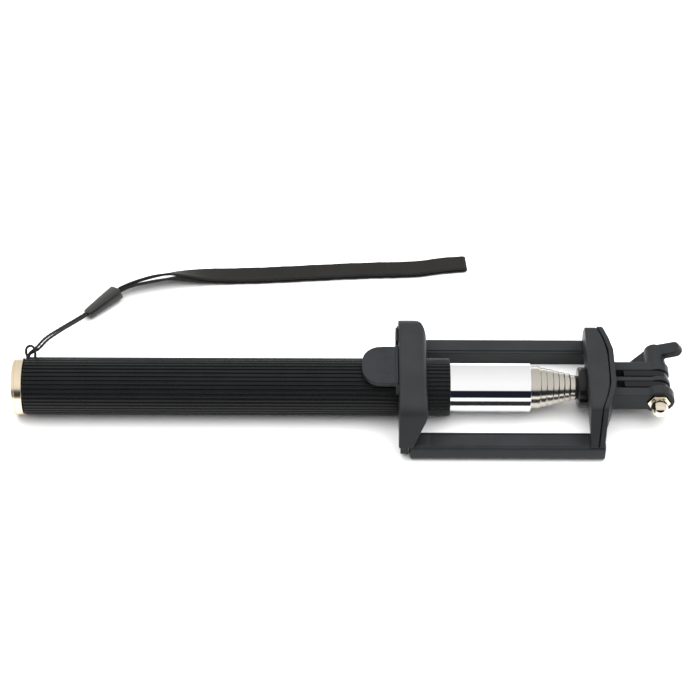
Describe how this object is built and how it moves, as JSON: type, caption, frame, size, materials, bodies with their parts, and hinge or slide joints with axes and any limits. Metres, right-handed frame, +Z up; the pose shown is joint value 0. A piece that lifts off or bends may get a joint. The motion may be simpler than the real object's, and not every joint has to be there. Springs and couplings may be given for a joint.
{
  "type": "selfie stick",
  "caption": "Telescopic selfie stick, folded: ribbed grip, nested metal tubes, folding spring clamp on a thumb-screw hinge, and a wrist strap.",
  "frame": {"origin": "under the middle of the folded stick without its strap, on the surface it lies on", "axes": "+X along the pole from the end cap to the head, +Y towards the thumb screw, +Z up"},
  "size_m": [0.223, 0.0904, 0.0228],
  "materials": {
    "black_plastic": "fine moulded grain, satin black ABS",
    "soft_cover": "matte soft-touch black",
    "grip_rubber": "ribbed black rubber",
    "chrome_tube": "polished chrome plate",
    "satin_tube": "warm satin nickel plate",
    "nickel": "bright warm nickel plate",
    "gold": "champagne gold anodised",
    "steel": "zinc-plated steel",
    "bush_bronze": "phosphor bronze",
    "inner_plastic": "plain black nylon",
    "strap_fabric": "woven black polyester",
    "sleeve_plastic": "dark grey moulded plastic"
  },
  "bodies": {
    "handle": {"end_cap": "gold", "cap_plug": "inner_plastic", "grip_sleeve": "grip_rubber", "tube_1": "chrome_tube", "rear_buffer": "inner_plastic", "strap_cord_a": "strap_fabric", "strap_cord_b": "strap_fabric", "strap_sleeve": "sleeve_plastic", "strap_band_upper": "strap_fabric", "strap_band_lower": "strap_fabric"},
    "section_2": {"tube_2": "satin_tube", "bush_2": "bush_bronze"},
    "section_3": {"tube_3": "satin_tube", "bush_3": "bush_bronze"},
    "section_4": {"tube_4": "satin_tube", "bush_4": "bush_bronze"},
    "section_5": {"tube_5": "satin_tube", "bush_5": "bush_bronze"},
    "section_6": {"tube_6": "satin_tube", "bush_6": "bush_bronze"},
    "section_7": {"tube_7": "satin_tube", "bush_7": "bush_bronze"},
    "section_8": {"tube_8": "satin_tube", "bush_8": "bush_bronze", "pole_head": "black_plastic", "head_pin": "steel"},
    "clamp": {"base_jaw_shell": "black_plastic", "base_jaw_pad": "soft_cover", "rail_front": "black_plastic", "rail_rear": "black_plastic", "rail_screw_front": "steel", "rail_screw_rear": "steel", "spring_pin_front": "steel", "spring_pin_rear": "steel", "spring_front": "steel", "spring_rear": "steel", "acorn_nut": "nickel"},
    "top_jaw": {"top_jaw_body": "black_plastic", "top_jaw_pad": "soft_cover", "slide_front": "black_plastic", "slide_rear": "black_plastic", "slide_screw_front": "steel", "slide_screw_rear": "steel"},
    "thumb_screw": {"thumb_wing": "black_plastic", "thumb_bolt": "steel"}
  },
  "joints": [
    {"name": "extend_2", "type": "slide", "parent": "handle", "child": "section_2", "axis": [1, 0, 0], "range_m": [0, 0.112]},
    {"name": "extend_3", "type": "slide", "parent": "section_2", "child": "section_3", "axis": [1, 0, 0], "range_m": [0, 0.112]},
    {"name": "extend_4", "type": "slide", "parent": "section_3", "child": "section_4", "axis": [1, 0, 0], "range_m": [0, 0.112]},
    {"name": "extend_5", "type": "slide", "parent": "section_4", "child": "section_5", "axis": [1, 0, 0], "range_m": [0, 0.112]},
    {"name": "extend_6", "type": "slide", "parent": "section_5", "child": "section_6", "axis": [1, 0, 0], "range_m": [0, 0.112]},
    {"name": "extend_7", "type": "slide", "parent": "section_6", "child": "section_7", "axis": [1, 0, 0], "range_m": [0, 0.112]},
    {"name": "extend_8", "type": "slide", "parent": "section_7", "child": "section_8", "axis": [1, 0, 0], "range_m": [0, 0.112]},
    {"name": "clamp_fold", "type": "hinge", "parent": "section_8", "child": "clamp", "pos_m": [0.10285, 0, 0.0108], "axis": [0, 1, 0], "range_deg": [0, 250]},
    {"name": "jaw_open", "type": "slide", "parent": "clamp", "child": "top_jaw", "axis": [-1, 0, 0], "range_m": [0, 0.03], "stiffness_N_per_m": 200, "springref_m": -0.025, "deforming": ["spring_front", "spring_rear"]},
    {"name": "thumb_turn", "type": "hinge", "parent": "clamp", "child": "thumb_screw", "pos_m": [0.10285, 0, 0.0108], "axis": [0, 1, 0], "continuous": true}
  ]
}
